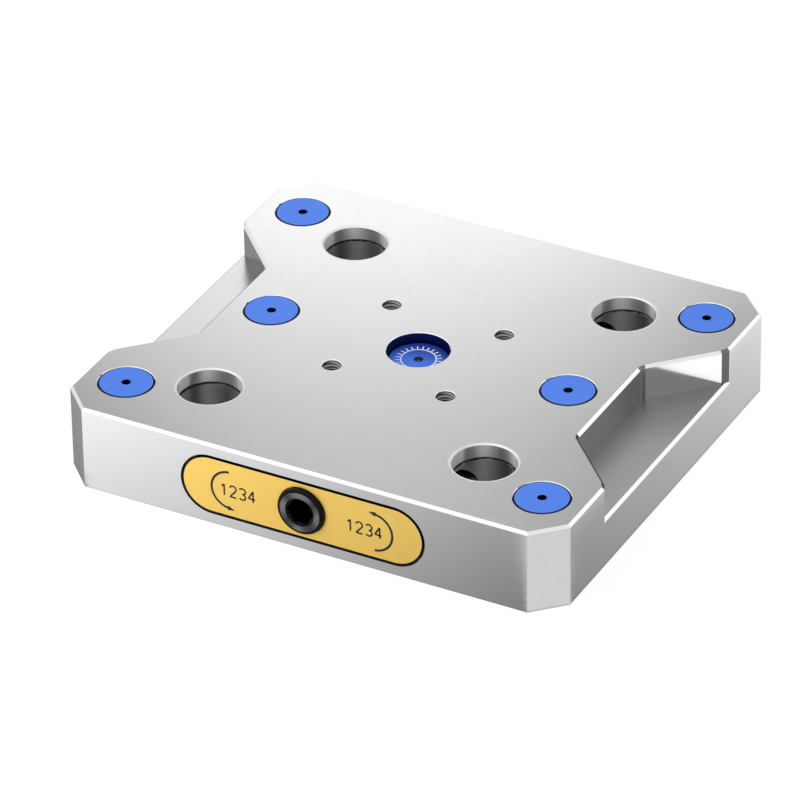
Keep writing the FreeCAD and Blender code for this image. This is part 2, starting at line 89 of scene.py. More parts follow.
# Printed marks on the front plate and the plug
INK_THICKNESS = 0.03 * MM
INK_SUNK = 0.01 * MM
DIGITS = 4
DIGIT_HEIGHT = 4.1 * MM
DIGIT_WIDTH = 2.4 * MM
DIGIT_PITCH = 3.3 * MM
DIGIT_STROKE = 0.56 * MM
DIGITS_BOTTOM = 11.85 * MM
DIGITS_LEFT = (-28.6 * MM, 15.4 * MM)
BOWL_STEPS = 25
ARROW_CENTRES = ((-25.0 * MM, 14.0 * MM), (24.7 * MM, 13.8 * MM))
ARROW_STARTS = (93, -86)
ARROW_SWEEP = 168
ARROW_STEPS = 61
ARROW_RADIUS = 6.6 * MM
ARROW_STROKE = 0.78 * MM
ARROW_HEAD_LENGTH = 2.4 * MM
ARROW_HEAD_HALF = 0.85 * MM
ARROW_TIP_SHARE = 0.02
DIAL_RADIUS = 5.6 * MM
DIAL_STROKE = 0.35 * MM
DIAL_STEPS = 72
DIAL_TICKS = 24
DIAL_TICK_LENGTH = 1.5 * MM

# Camera, fitted to the photograph's viewing angle
CAMERA_PLACE = (0.828077, -1.547564, 1.133555)
CAMERA_RIGHT = (0.88402969, 0.46724123, -0.01330951)
CAMERA_DOWN = (0.24197671, -0.48181508, -0.84220039)
CAMERA_FORWARD = (-0.39992347, 0.74130956, -0.53900033)
CAMERA_LENS = 297.895
CAMERA_SENSOR = 36.0

# Studio. A tone is the brightness that gloss sees, where 1 is white.
STEEL_LEVEL = 0.86
FLOOR_REACH = 12.0
FLOOR_FINE_REACH = 0.30
FLOOR_FINE_STEP = 0.002
FLOOR_CAMERA_WHITE = 0.90
STAGE_ALBEDO = 0.8
CORNER_WAY = (0.88, 0.475)
WEDGE_TONE = 0.72
RIGHT_FAR_TONE = 1.25
REAR_TONES = (0.55, 0.85)
LEFT_TONES = (0.29, 0.60)
FAR_TONE = 0.72
UNDER_TONE = 0.06
SKY_DIFFUSE = 0.55
SKY_LOW_TONES = (0.78, 1.08)
SKY_OVERHEAD_SHARE = 0.74
SKY_HIGH_RIGHT_TONE = 0.82
CARD_DISTANCE = 0.40
CARD_ACROSS = (-0.42, 0.02, 45)
CARD_UP = (0.20, 0.46, 27)

# Dark sheets: both ends' x, y and z in turn, and a tone
FLAGS = {
    "rear_right_flag": ((0.12, 0.31, 0.40, 0.40, 0.25, 0.55), 0.12),
    "right_flag": ((0.45, 0.45, -0.40, 0.30, 0.15, 0.42), 0.28),
    "left_flag": ((-0.45, -0.45, 0.16, 0.60, 0.18, 0.70), 0.02),
}

# Soft lamps: a place in metres, a power in watts and the side of a square in metres
LAMPS = {
    "key_lamp": {"place": (-0.50, -0.62, 0.42), "power": 5.0, "size": 0.4},
    "fill_lamp": {"place": (0.5, 0.4, 1.2), "power": 7.0, "size": 1.0},
}


def linear(*levels):
    """Linear colour of 8-bit display levels."""
    out = []
    for level in levels:
        v = level / 255
        out.append(v / 12.92 if v <= 0.04045 else ((v + 0.055) / 1.055) ** 2.4)
    return (*out, 1.0)


def grey(level, blue=0.0):
    """Linear grey whose blue is a little higher."""
    return (level, level, level + blue, 1.0)


def mixed(first, second, share):
    """Goes from the first to the second as share goes from 0 to 1."""
    return first + (second - first) * share


def smooth_step(value, low, high):
    """0 below low, 1 above high, and 3t^2 - 2t^3 between them."""
    t = np.clip((value - low) / (high - low), 0, 1)
    return t * t * (3 - 2 * t)


def put_camera():
    """Camera whose matrix columns are its right, its up and its backward directions."""
    right, down, forward = Vector(CAMERA_RIGHT), Vector(CAMERA_DOWN), Vector(CAMERA_FORWARD)
    data = bpy.data.cameras.new("photo_view")
    data.lens = CAMERA_LENS
    data.sensor_width = CAMERA_SENSOR
    data.clip_start = 0.05
    data.clip_end = 30
    camera = bpy.data.objects.new("photo_view", data)
    turn = Matrix((right, -down, -forward)).transposed()
    camera.matrix_world = Matrix.Translation(CAMERA_PLACE) @ turn.to_4x4()
    bpy.context.scene.collection.objects.link(camera)
    bpy.context.scene.camera = camera


# Meshes

def make_piece(name, points, faces):
    """Mesh object with flat faces from an array of points and a list of faces, at the origin."""
    mesh = bpy.data.meshes.new(name)
    mesh.from_pydata(np.asarray(points).tolist(), [], faces)
    mesh.update()
    piece = bpy.data.objects.new(name, mesh)
    bpy.context.scene.collection.objects.link(piece)
    return piece


def swept_faces(rows, columns, closed):
    """Quads of a skin of rows x columns points, whose columns close on themselves. The rows
    close too if closed is set, and otherwise each end has one flat face."""
    last = rows if closed else rows - 1
    i, j = np.meshgrid(np.arange(last), np.arange(columns), indexing="ij")
    here, below, right = i * columns, (i + 1) % rows * columns, (j + 1) % columns
    quads = np.stack([here + j, here + right, below + right, below + j], -1)
    faces = quads.reshape(-1, 4).tolist()
    if not closed:
        faces.append(list(range(columns))[::-1])
        faces.append([(rows - 1) * columns + k for k in range(columns)])
    return faces


def join_sweeps(parts):
    """Points and faces of several sweeps as one mesh."""
    points, faces, start = [], [], 0
    for part_points, part_faces in parts:
        points.append(part_points)
        faces += [[start + k for k in face] for face in part_faces]
        start += len(part_points)
    return np.concatenate(points), faces


def band(path, half_width, closed=False):
    """Flat strip along a path in a plane, as points (u, v, lift) and faces.

    The strip's section is a rectangle: its half width lies across the path's direction, which
    is the difference of the neighbouring points, and its lift goes from the sunk to the proud
    side. The section's corners go round so that the faces point outwards."""
    path = np.asarray(path, float)
    half = np.broadcast_to(half_width, len(path)).astype(float)
    if closed:
        along = np.roll(path, -1, 0) - np.roll(path, 1, 0)
    else:
        along = np.gradient(path, axis=0)
    along /= np.linalg.norm(along, axis=1, keepdims=True)
    across = np.stack([-along[:, 1], along[:, 0]], 1) * half[:, None]
    low = np.full((len(path), 1), -INK_SUNK)
    high = np.full((len(path), 1), INK_THICKNESS)
    ring = np.stack([
        np.hstack([path + across, low]), np.hstack([path + across, high]),
        np.hstack([path - across, high]), np.hstack([path - across, low]),
    ], 1)
    return ring.reshape(-1, 3), swept_faces(len(path), 4, closed)


def pen_stroke(points, half_width, steps=6):
    """Strip with round ends along straight runs. Its half width follows a quarter circle within
    one half width of each end: w = sqrt(h^2 - (h - s)^2), where s is the way from that end. The
    strip begins and stops a little inside its ends, where it still has a width."""
    points = np.asarray(points, float)
    lengths = np.concatenate([[0], np.cumsum(np.linalg.norm(np.diff(points, axis=0), axis=1))])
    total = lengths[-1]
    end = half_width * (1 - np.cos(np.linspace(0.25, math.pi / 2, steps)))
    s = np.concatenate([end, total - end[::-1]])
    path = np.stack([np.interp(s, lengths, points[:, k]) for k in (0, 1)], 1)
    near_end = np.minimum(np.minimum(s, total - s), half_width)
    half = np.sqrt(half_width ** 2 - (half_width - near_end) ** 2)
    return band(path, half)


def arc_points(centre, radius, start, end, steps, squash=1.0):
    """Points on a circle, or an ellipse whose height is squash times its width, from start to
    end in degrees anticlockwise from the right."""
    t = np.radians(np.linspace(start, end, steps))
    u, v = centre[0] + radius * np.cos(t), centre[1] + radius * squash * np.sin(t)
    return np.stack([u, v], 1)


def digit_strokes(digit, left, bottom):
    """Strips of one digit from 1 to 4, in thin lines of even width. Its corners are shares of
    its width and height, and its bowls are parts of ellipses that span 0.92 of its width."""
    half = DIGIT_STROKE / 2

    def at(u, v):
        return left + u * DIGIT_WIDTH, bottom + v * DIGIT_HEIGHT

    def line(*ends):
        return pen_stroke([at(*end) for end in ends], half)

    def bowl(v, height, start, end):
        squash = height * DIGIT_HEIGHT / (0.92 * DIGIT_WIDTH)
        return arc_points(at(0.5, v), 0.46 * DIGIT_WIDTH, start, end, BOWL_STEPS, squash)

    if digit == 1:
        return [line((0.22, 0.76), (0.6, 1)), line((0.6, 1), (0.6, 0))]
    if digit == 2:
        curve = bowl(0.73, 0.54, 165, -38)
        slope = pen_stroke([curve[-1], at(0.04, 0)], half)
        return [band(curve, half), slope, line((0.04, 0), (1, 0))]
    if digit == 3:
        return [band(bowl(0.75, 0.50, 150, -90), half), band(bowl(0.25, 0.50, 90, -150), half)]
    return [line((0.7, 1), (0, 0.3)), line((0, 0.3), (1, 0.3)), line((0.7, 1), (0.7, 0))]


def turning_arrow(centre, start):
    """Arc that starts at an angle in degrees and turns anticlockwise, with a triangular head.
    The head's half width falls in a straight line to almost nothing at its tip."""
    arc = arc_points(centre, ARROW_RADIUS, start, start + ARROW_SWEEP, ARROW_STEPS)
    ahead = arc[-1] - arc[-2]
    tip = arc[-1] + ahead / np.linalg.norm(ahead) * ARROW_HEAD_LENGTH
    share = np.linspace(0, 1, 5)[:, None]
    head = arc[-1] + (tip - arc[-1]) * share
    head_half = ARROW_HEAD_HALF * mixed(1, ARROW_TIP_SHARE, share[:, 0])
    return [band(arc, ARROW_STROKE / 2), band(head, head_half)]


def tick_ring():
    """Closed ring with short radial lines outside it, evenly spaced, like a plain dial."""
    ring = arc_points((0.0, 0.0), DIAL_RADIUS, 0, 360, DIAL_STEPS + 1)[:-1]
    strips = [band(ring, DIAL_STROKE / 2, closed=True)]
    start = DIAL_RADIUS + DIAL_STROKE
    end = start + DIAL_TICK_LENGTH
    for angle in np.arange(DIAL_TICKS) * 2 * math.pi / DIAL_TICKS:
        away = np.array([math.cos(angle), math.sin(angle)])
        strips.append(pen_stroke([away * start, away * end], DIAL_STROKE / 2))
    return strips


def front_marks():
    """Numbers of the four turns and a turning arrow on both halves of the front plate:
    (u, v, lift) becomes (x, -y, z)."""
    strips = []
    for left in DIGITS_LEFT:
        for k in range(DIGITS):
            strips += digit_strokes(k + 1, left + k * DIGIT_PITCH, DIGITS_BOTTOM)
    for centre, start in zip(ARROW_CENTRES, ARROW_STARTS):
        strips += turning_arrow(centre, start)
    points, faces = join_sweeps(strips)
    u, v, lift = points.T
    return make_piece("front_plate_marks", np.stack([u, MARKED_FACE - lift, v], 1), faces)


def plug_dial():
    """Ring of ticks on top of the centre plug: (u, v, lift) becomes (x, y, z)."""
    points, faces = join_sweeps(tick_ring())
    return make_piece("centre_plug_dial", points + (0, 0, PLUG_TOP), faces)


def thread_ridge(x, y):
    """Right-handed thread ridge inside a hole: an edge profile carried along a helix whose
    height is the pitch times the turn. It grows out of the wall and back into it over the
    run-in."""
    rows = int(THREAD_TURNS * THREAD_STEPS_PER_TURN) + 1
    turn = np.linspace(0, THREAD_TURNS, rows)
    rise = np.minimum(turn, THREAD_TURNS - turn) / THREAD_RUN_IN
    rise = np.clip(rise, THREAD_END_RISE, 1)
    outer = np.full(rows, THREAD_OUTER)
    inner = THREAD_OUTER - (THREAD_OUTER - THREAD_INNER) * rise
    height = PLATE_TOP - THREAD_TOP_GAP - THREAD_PITCH * (THREAD_TURNS - turn)
    profile = [(outer, -THREAD_ROOT_HALF), (inner, -THREAD_FLAT_HALF),
               (inner, THREAD_FLAT_HALF), (outer, THREAD_ROOT_HALF)]
    around = 2 * math.pi * turn
    ring = np.stack([np.stack([x + r * np.cos(around), y + r * np.sin(around), height + dz], 1)
                     for r, dz in profile], 1)
    return ring.reshape(-1, 3), swept_faces(rows, 4, False)


def tapped_threads():
    """Thread ridges of the four tapped holes."""
    ridges = [thread_ridge(side * TAPPED_HALF_X, end * TAPPED_HALF_Y)
              for side in (-1, 1) for end in (-1, 1)]
    points, faces = join_sweeps(ridges)
    return make_piece("tapped_hole_threads", points, faces)


# Shader helpers

def add(tree, kind, inputs=None, **settings):
    """Shader node with its properties set, and its inputs given as values or as sockets."""
    node = tree.nodes.new("ShaderNode" + kind)
    for key, value in settings.items():
        setattr(node, key, value)
    give(tree, node, inputs or {})
    return node


def give(tree, node, inputs):
    """Sets a node's inputs, each to a value or to the socket that feeds it."""
    for key, value in inputs.items():
        if isinstance(value, bpy.types.NodeSocket):
            tree.links.new(value, node.inputs[key])
        else:
            node.inputs[key].default_value = value


def maths(tree, operation, a, b=0.0, c=0.0, clamp=False):
    """Output of a Math node."""
    return add(tree, "Math", {0: a, 1: b, 2: c}, operation=operation, use_clamp=clamp).outputs[0]


def over(tree, value, limit):
    """1 where a value is over its limit, and 0 elsewhere."""
    return maths(tree, "GREATER_THAN", value, limit)


def under(tree, value, limit):
    """1 where a value is under its limit, and 0 elsewhere."""
    return maths(tree, "LESS_THAN", value, limit)


def product(tree, first, *others):
    """Product of several values, which for masks is where all of them are 1."""
    for other in others:
        first = maths(tree, "MULTIPLY", first, other)
    return first


def distance(tree, a, b):
    """Square root of the sum of two squares."""
    squares = maths(tree, "MULTIPLY_ADD", a, a, maths(tree, "MULTIPLY", b, b))
    return maths(tree, "SQRT", squares)


def parts_of(tree, vector):
    """X, Y and Z of a vector."""
    return add(tree, "SeparateXYZ", {0: vector}).outputs


def noise(tree, spot, scale, detail, **others):
    """Output of a Noise Texture node. Others are its other inputs by name."""
    inputs = {"Vector": spot, "Scale": scale, "Detail": detail, **others}
    return add(tree, "TexNoise", inputs).outputs[0]


def remap(tree, value, low, high, to_low=0.0, to_high=1.0):
    """Output of a smooth Map Range node, held inside its new range."""
    inputs = {"Value": value, "From Min": low, "From Max": high,
              "To Min": to_low, "To Max": to_high}
    return add(tree, "MapRange", inputs, interpolation_type="SMOOTHSTEP").outputs[0]


def between(tree, share, first, second):
    """Number that goes from the first to the second as share goes from 0 to 1."""
    return add(tree, "Mix", {0: share, 2: first, 3: second}, data_type="FLOAT").outputs[0]


def blend(tree, share, first, second):
    """Colour that goes from the first to the second as share goes from 0 to 1."""
    return add(tree, "Mix", {0: share, 6: first, 7: second}, data_type="RGBA").outputs[2]


def toned(tree, colour, level):
    """Colour times a number."""
    inputs = {0: colour[:3], "Scale": level}
    return add(tree, "VectorMath", inputs, operation="SCALE").outputs[0]


def stretched(tree, vector, factors):
    """Vector times another, part by part."""
    return add(tree, "VectorMath", {0: vector, 1: factors}, operation="MULTIPLY").outputs[0]


def crests(tree, spot, angle, count, scale):
    """Wave from 0 to 1 with so many crests round an axis, which noise shifts a little."""
    shift = maths(tree, "MULTIPLY_ADD", noise(tree, spot, scale, 1.0), 3.0, -1.2)
    phase = maths(tree, "MULTIPLY_ADD", angle, count, shift)
    return maths(tree, "MULTIPLY_ADD", maths(tree, "COSINE", phase), 0.5, 0.5)


def new_effect(name, inputs, outputs):
    """Empty shader node group with named number or vector inputs and outputs."""
    tree = bpy.data.node_groups.new(name, "ShaderNodeTree")
    for label, value in inputs.items():
        kind = "NodeSocketVector" if value is None else "NodeSocketFloat"
        socket = tree.interface.new_socket(label, in_out="INPUT", socket_type=kind)
        if value is not None:
            socket.default_value = value
    for label in outputs:
        tree.interface.new_socket(label, in_out="OUTPUT", socket_type="NodeSocketFloat")
    given, out = tree.nodes.new("NodeGroupInput"), tree.nodes.new("NodeGroupOutput")
    return tree, given.outputs, out.inputs


def use(tree, effect, inputs):
    """Outputs of a node group placed in a material."""
    node = tree.nodes.new("ShaderNodeGroup")
    node.node_tree = effect
    give(tree, node, inputs)
    return node.outputs


# Effects that the finishes share

def make_grind_lines():
    """Grain of a ground surface: noise stretched along X, and along Y on faces that look along
    X. Pitch is the width of a line and Length its length, in metres."""
    values = {"Vector": None, "Normal": None, "Pitch": 0.0003, "Length": 0.02}
    tree, given, out = new_effect("grind_lines", values, ["Grain"])
    across = maths(tree, "DIVIDE", 1.0, given["Pitch"])
    along = maths(tree, "DIVIDE", 1.0, given["Length"])
    facing = parts_of(tree, given["Normal"])[0]
    sideways = over(tree, maths(tree, "ABSOLUTE", facing), 0.8)
    x_rate = between(tree, sideways, along, across)
    y_rate = between(tree, sideways, across, along)
    rate = add(tree, "CombineXYZ", {0: x_rate, 1: y_rate, 2: across}).outputs[0]
    spot = stretched(tree, given["Vector"], rate)
    tree.links.new(noise(tree, spot, 1.0, 3.0, Roughness=0.6), out["Grain"])
    return tree


def make_hair_scratches():
    """Sparse thin scratches in two crossing directions: the lines where a stretched noise
    passes its middle value, kept only where a broad noise is high."""
    values = {"Vector": None, "Spacing": 0.004, "Share": 0.5}
    tree, given, out = new_effect("hair_scratches", values, ["Scratch"])
    rate = maths(tree, "DIVIDE", 1.0, given["Spacing"])
    lines = []
    for angle, bend in ((0.5, 0.0), (-1.1, 0.074)):
        inputs = {"Vector": given["Vector"], "Angle": angle}
        turned = add(tree, "VectorRotate", inputs).outputs[0]
        slim = stretched(tree, turned, (0.06, 1.0, 1.0))
        hair = noise(tree, slim, rate, 1.0, Distortion=bend)
        middle = maths(tree, "ABSOLUTE", maths(tree, "SUBTRACT", hair, 0.5))
        lines.append(remap(tree, middle, 0.0, 0.006, 1.0, 0.0))
    broad = noise(tree, given["Vector"], 90.0, 2.0)
    kept = remap(tree, broad, maths(tree, "SUBTRACT", 1.0, given["Share"]), 0.75)
    tree.links.new(product(tree, maths(tree, "MAXIMUM", *lines), kept), out["Scratch"])
    return tree


def make_handling():
    """Faint cloudy marks of handling and of dried coolant, from two sizes of noise."""
    tree, given, out = new_effect("handling_marks", {"Vector": None, "Size": 0.03}, ["Mark"])
    rate = maths(tree, "DIVIDE", 1.0, given["Size"])
    broad = noise(tree, given["Vector"], rate, 4.0, Roughness=0.55)
    fine = noise(tree, given["Vector"], maths(tree, "MULTIPLY", rate, 7.0), 2.0)
    tree.links.new(remap(tree, product(tree, broad, fine), 0.18, 0.38), out["Mark"])
    return tree


def make_cut_edges():
    """Mask of the chamfers between the flat faces and the upright walls, where the normal's
    height lies between the two given values."""
    tree, given, out = new_effect("cut_edges", {"Normal": None, "From": 0.55, "To": 0.85}, ["Edge"])
    height = maths(tree, "ABSOLUTE", parts_of(tree, given["Normal"])[2])
    edge = product(tree, over(tree, height, given["From"]), under(tree, height, given["To"]))
    tree.links.new(edge, out["Edge"])
    return tree


def make_turned_lines():
    """Fine feed marks of turning: noise in the distance from the vector's own Z axis plus the
    distance along it."""
    tree, given, out = new_effect("turned_lines", {"Vector": None, "Pitch": 0.0002}, ["Line"])
    x, y, z = parts_of(tree, given["Vector"])
    way = maths(tree, "ADD", distance(tree, x, y), z)
    way = maths(tree, "DIVIDE", way, given["Pitch"])
    spot = add(tree, "CombineXYZ", {0: way, 1: 0.0, 2: 0.0}).outputs[0]
    tree.links.new(noise(tree, spot, 1.0, 2.0), out["Line"])
    return tree


def make_fine_blast():
    """Dull grain of a blasted or anodised surface: two sizes of noise added."""
    tree, given, out = new_effect("fine_blast", {"Vector": None, "Grain Size": 0.00025}, ["Grain"])
    rate = maths(tree, "DIVIDE", 1.0, given["Grain Size"])
    small = noise(tree, given["Vector"], rate, 2.0)
    large = noise(tree, given["Vector"], maths(tree, "MULTIPLY", rate, 0.12), 2.0)
    total = maths(tree, "MULTIPLY_ADD", small, 0.7, maths(tree, "MULTIPLY", large, 0.3))
    tree.links.new(total, out["Grain"])
    return tree


def make_hole_insides():
    """Masks of everything closer than a reach to the axes of holes at plus and minus two half
    pitches: Inside lies below a given height, and Rim above it."""
    values = {"Vector": None, "Half X": 0.0, "Half Y": 0.0, "Reach": 0.01, "Below": 0.028}
    tree, given, out = new_effect("hole_insides", values, ["Inside", "Rim"])
    x, y, z = parts_of(tree, given["Vector"])
    dx = maths(tree, "SUBTRACT", maths(tree, "ABSOLUTE", x), given["Half X"])
    dy = maths(tree, "SUBTRACT", maths(tree, "ABSOLUTE", y), given["Half Y"])
    near = under(tree, distance(tree, dx, dy), given["Reach"])
    low = under(tree, z, given["Below"])
    tree.links.new(product(tree, near, low), out["Inside"])
    tree.links.new(product(tree, near, maths(tree, "SUBTRACT", 1.0, low)), out["Rim"])
    return tree


def make_notch_faces():
    """Masks of the parts of one side's notch, from the place and the normal: its upright walls,
    the level ledge and the chamfers along its top. Of the walls and the chamfers only the faces
    count whose normal's Y lies between the two given values."""
    values = {"Vector": None, "Normal": None, "Way": 1.0, "Low Y": -2.0, "High Y": 2.0,
              "Back": NOTCH_BACK, "Side": NOTCH_SIDE, "Mouth": NOTCH_MOUTH,
              "Ledge": LEDGE_HEIGHT}
    tree, given, out = new_effect("notch_faces", values, ["Wall", "Floor", "Edge"])
    x, y, z = parts_of(tree, given["Vector"])
    x, y = maths(tree, "MULTIPLY", x, given["Way"]), maths(tree, "ABSOLUTE", y)
    least_z = maths(tree, "SUBTRACT", given["Ledge"], 0.1 * MM)
    within = product(tree, over(tree, x, given["Back"]), under(tree, x, given["Side"]),
                     under(tree, y, given["Mouth"]), over(tree, z, least_z))
    _, facing_y, facing_z = parts_of(tree, given["Normal"])
    up = maths(tree, "ABSOLUTE", facing_z)
    upright = under(tree, up, 0.3)
    chosen = product(tree, within, over(tree, facing_y, given["Low Y"]),
                     under(tree, facing_y, given["High Y"]))
    tree.links.new(product(tree, chosen, upright), out["Wall"])
    low = under(tree, z, maths(tree, "ADD", given["Ledge"], 0.5 * MM))
    tree.links.new(product(tree, within, low, over(tree, up, 0.9)), out["Floor"])
    slanted = product(tree, maths(tree, "SUBTRACT", 1.0, upright), under(tree, up, 0.9))
    tree.links.new(product(tree, chosen, slanted), out["Edge"])
    return tree


def make_turned_away():
    """Mask of faces whose normal leans away from a given direction: 1 where the size of their
    dot product is under the limit."""
    values = {"Normal": None, "Direction": None, "Limit": 0.5}
    tree, given, out = new_effect("turned_away", values, ["Away"])
    inputs = {0: given["Normal"], 1: given["Direction"]}
    along = add(tree, "VectorMath", inputs, operation="DOT_PRODUCT").outputs[1]
    tree.links.new(under(tree, maths(tree, "ABSOLUTE", along), given["Limit"]), out["Away"])
    return tree


def make_painted_bore_streaks():
    """Painted reflections inside bores at plus and minus two half pitches: soft upright streaks of
    lighter colour, like windows mirrored in a honed wall, with six crests round the nearest axis,
    stronger towards plus and minus X."""
    values = {"Vector": None, "Half X": RECEIVER_HALF_PITCH, "Half Y": RECEIVER_HALF_PITCH}
    tree, given, out = new_effect("painted_bore_streaks", values, ["Streak"])
    x, y, _ = parts_of(tree, given["Vector"])
    ways = []
    for part, half in ((x, given["Half X"]), (y, given["Half Y"])):
        axis = maths(tree, "MULTIPLY", maths(tree, "SIGN", part), half)
        ways.append(maths(tree, "SUBTRACT", part, axis))
    angle = maths(tree, "ARCTAN2", ways[1], ways[0])
    wave = crests(tree, given["Vector"], angle, 6.0, 45.0)
    beside = maths(tree, "SUBTRACT", 1.0, maths(tree, "ABSOLUTE", maths(tree, "SINE", angle)))
    strength = maths(tree, "MULTIPLY_ADD", beside, 2.4, 0.6)
    tree.links.new(maths(tree, "MULTIPLY", wave, strength, clamp=True), out["Streak"])
    return tree


def make_end_faces():
    """Mask of a round end that looks along Y: in front of a given place and within a reach of
    an axis at a height. Its crests are four soft painted glints round the axis."""
    values = {"Vector": None, "Normal": None, "Before": 0.0, "Height": 0.0143,
              "Reach": SCREW_FACE_REACH}
    tree, given, out = new_effect("end_faces", values, ["Face", "Painted Glint"])
    x, y, z = parts_of(tree, given["Vector"])
    rise = maths(tree, "SUBTRACT", z, given["Height"])
    near = under(tree, distance(tree, rise, x), given["Reach"])
    along = maths(tree, "ABSOLUTE", parts_of(tree, given["Normal"])[1])
    face = product(tree, under(tree, y, given["Before"]), near, over(tree, along, 0.9))
    tree.links.new(face, out["Face"])
    painted_glint = crests(tree, given["Vector"], maths(tree, "ARCTAN2", rise, x), 4.0, 250.0)
    tree.links.new(product(tree, face, painted_glint), out["Painted Glint"])
    return tree


GRIND = make_grind_lines()
SCRATCH = make_hair_scratches()
HANDLING = make_handling()
EDGES = make_cut_edges()
TURNED = make_turned_lines()
BLAST = make_fine_blast()
HOLES = make_hole_insides()
NOTCH = make_notch_faces()
AWAY = make_turned_away()
PAINTED_STREAKS = make_painted_bore_streaks()
ENDS = make_end_faces()


# Masks of zones, each made by a function of a material's tree, object coordinates and normal

def hole_sizes(half_x, half_y, reach, chamfer):
    """Inputs of the masks of holes at plus and minus the half pitches, whose inside ends below
    the chamfer at the plate's top."""
    return {"Half X": half_x, "Half Y": half_y, "Reach": reach, "Below": PLATE_TOP - chamfer}


RECEIVER_HOLES = hole_sizes(RECEIVER_HALF_PITCH, RECEIVER_HALF_PITCH, RECEIVER_REACH,
                            RECEIVER_CHAMFER)
RECEIVER_RIMS = {**RECEIVER_HOLES, "Reach": RECEIVER_RIM_REACH}
TAPPED_HOLES = hole_sizes(TAPPED_HALF_X, TAPPED_HALF_Y, TAPPED_REACH, SMALL_CHAMFER)
CENTRE_HOLE = hole_sizes(0.0, 0.0, CENTRE_REACH, SMALL_CHAMFER)


def in_holes(sizes, part="Inside"):
    """Maker of a mask of the inside of holes or of their rims."""
    return lambda tree, spot, normal: use(tree, HOLES, {"Vector": spot, **sizes})[part]


def in_notch(way, face, low=-2.0, high=2.0, back=NOTCH_BACK):
    """Maker of a mask of one part of the notch on the side of plus or minus X, further out than
    a given distance from the middle."""
    sizes = {"Way": way, "Low Y": low, "High Y": high, "Back": back}

    def mask(tree, spot, normal):
        return use(tree, NOTCH, {"Vector": spot, "Normal": normal, **sizes})[face]
    return mask


def painted_streaks_inside(tree, spot, normal):
    """Mask of the painted reflection streaks in the receiver bores."""
    inside = in_holes(RECEIVER_HOLES)(tree, spot, normal)
    return product(tree, inside, use(tree, PAINTED_STREAKS, {"Vector": spot})["Streak"])


def end_face(part):
    """Maker of a mask of the drive screw's end face or of the painted glints on it."""
    sizes = {"Before": MARKED_FACE, "Height": SCREW_HEIGHT}

    def mask(tree, spot, normal):
        return use(tree, ENDS, {"Vector": spot, "Normal": normal, **sizes})[part]
    return mask


def with_zones(tree, spot, normal, zones, colour, rough, grain_share):
    """Colour and roughness after each zone, which has a maker of its mask, a colour and a
    roughness. The roughness that the grain adds on average is taken off it first."""
    for maker, zone_colour, zone_roughness in zones:
        mask = maker(tree, spot, normal)
        colour = blend(tree, mask, colour, zone_colour)
        rough = between(tree, mask, rough, zone_roughness - grain_share)
    return colour, rough


# Finishes

def new_material(name):
    """Material with its tree, its shader's inputs, its object coordinates and its normal."""
    material = bpy.data.materials.new(name)
    material.use_nodes = True
    tree = material.node_tree
    shader = tree.nodes["Principled BSDF"].inputs
    coordinates = tree.nodes.new("ShaderNodeTexCoord").outputs
    return material, tree, shader, coordinates["Object"], coordinates["Normal"]


def relief(tree, shader, height, full_range):
    """Bump of a height, whose full range is in metres, on the shader's normal."""
    bump = add(tree, "Bump", {"Height": height, "Distance": full_range, "Strength": 1.0})
    tree.links.new(bump.outputs[0], shader["Normal"])


def bright_steel(name, plain, edge, roughness, pitch, length, depth, mark=0.012, zones=()):
    """Bare ground steel: grain of grinding, hairlines, handling marks, and smoother chamfers in a
    lighter colour, which paints white highlight lines along the edges. Zones are as with_zones
    says."""
    material, tree, shader, spot, normal = new_material(name)
    inputs = {"Vector": spot, "Normal": normal, "Pitch": pitch, "Length": length}
    grain = use(tree, GRIND, inputs)["Grain"]
    scratch = use(tree, SCRATCH, {"Vector": spot})["Scratch"]
    marks = use(tree, HANDLING, {"Vector": spot})["Mark"]
    cut = use(tree, EDGES, {"Normal": normal})["Edge"]
    tone = maths(tree, "MULTIPLY_ADD", grain, 0.06, 0.97)
    tone = maths(tree, "MULTIPLY_ADD", marks, -mark, tone)
    # Lighter chamfer colour: a painted highlight along the edges, over smoother metal.
    colour = blend(tree, cut, toned(tree, plain, tone), edge)
    grain_share = 0.04
    rough = maths(tree, "MULTIPLY_ADD", cut, -0.05, roughness - grain_share)
    colour, rough = with_zones(tree, spot, normal, zones, colour, rough, grain_share)
    tree.links.new(colour, shader["Base Color"])
    shader["Metallic"].default_value = 1.0
    rough = maths(tree, "MULTIPLY_ADD", grain, 2 * grain_share, rough)
    rough = maths(tree, "MULTIPLY_ADD", scratch, 0.06, rough)
    rough = maths(tree, "MULTIPLY_ADD", marks, 0.008, rough)
    tree.links.new(rough, shader["Roughness"])
    relief(tree, shader, maths(tree, "MULTIPLY_ADD", scratch, -0.5, grain), depth)
    return material


